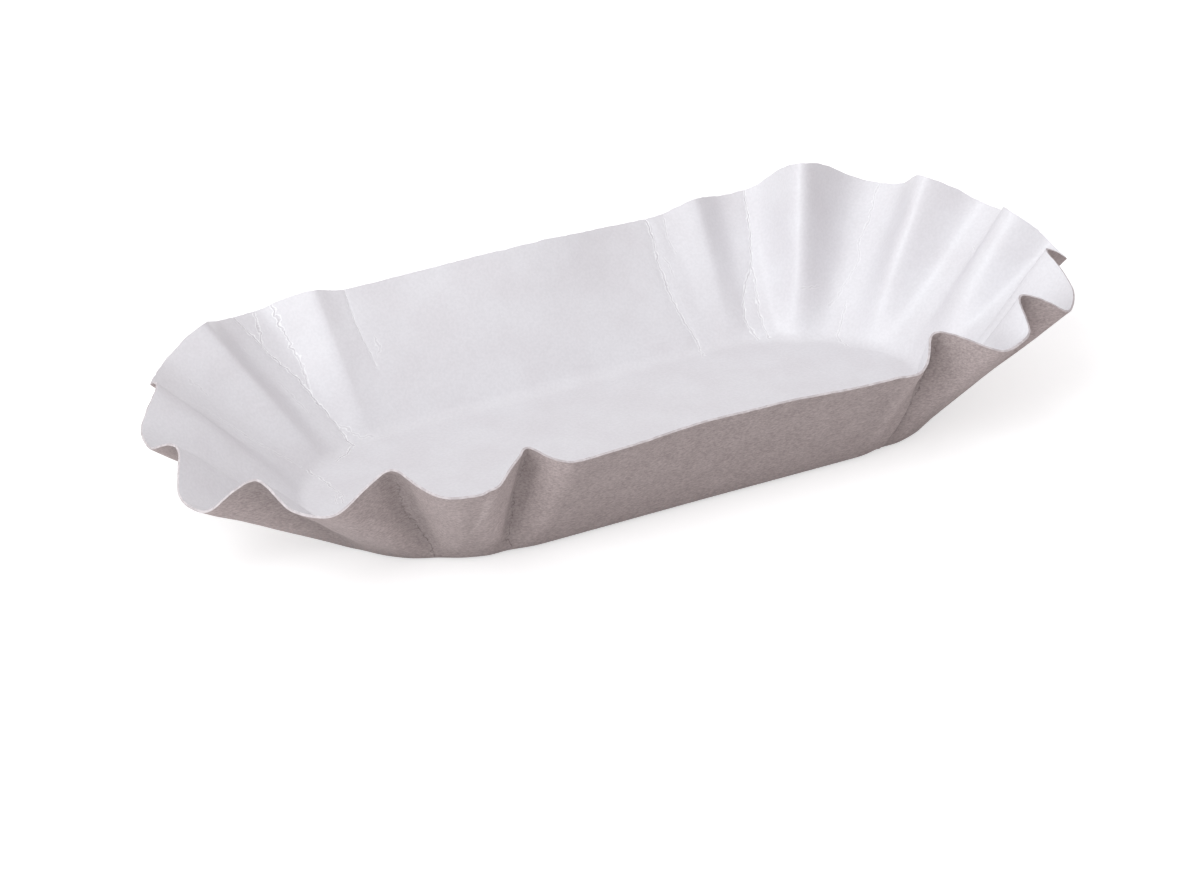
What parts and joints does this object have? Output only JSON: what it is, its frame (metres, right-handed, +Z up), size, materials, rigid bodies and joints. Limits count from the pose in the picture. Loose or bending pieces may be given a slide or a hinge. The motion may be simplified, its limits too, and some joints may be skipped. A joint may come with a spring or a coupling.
{
  "type": "paper food tray",
  "caption": "Oval fluted paperboard tray, coated white inside and grey-brown outside, that holds a portion of hot food.",
  "frame": {"origin": "middle of the underside of the floor, on the surface that the tray stands on", "axes": "+X along the tray towards its right end, +Y across it towards the far long wall, +Z up"},
  "size_m": [0.1745, 0.0863, 0.0293],
  "materials": {
    "board": "semi-gloss white coating inside, bare grey-brown recycled board outside"
  },
  "bodies": {
    "root": {"paper_tray": "board"}
  },
  "joints": []
}
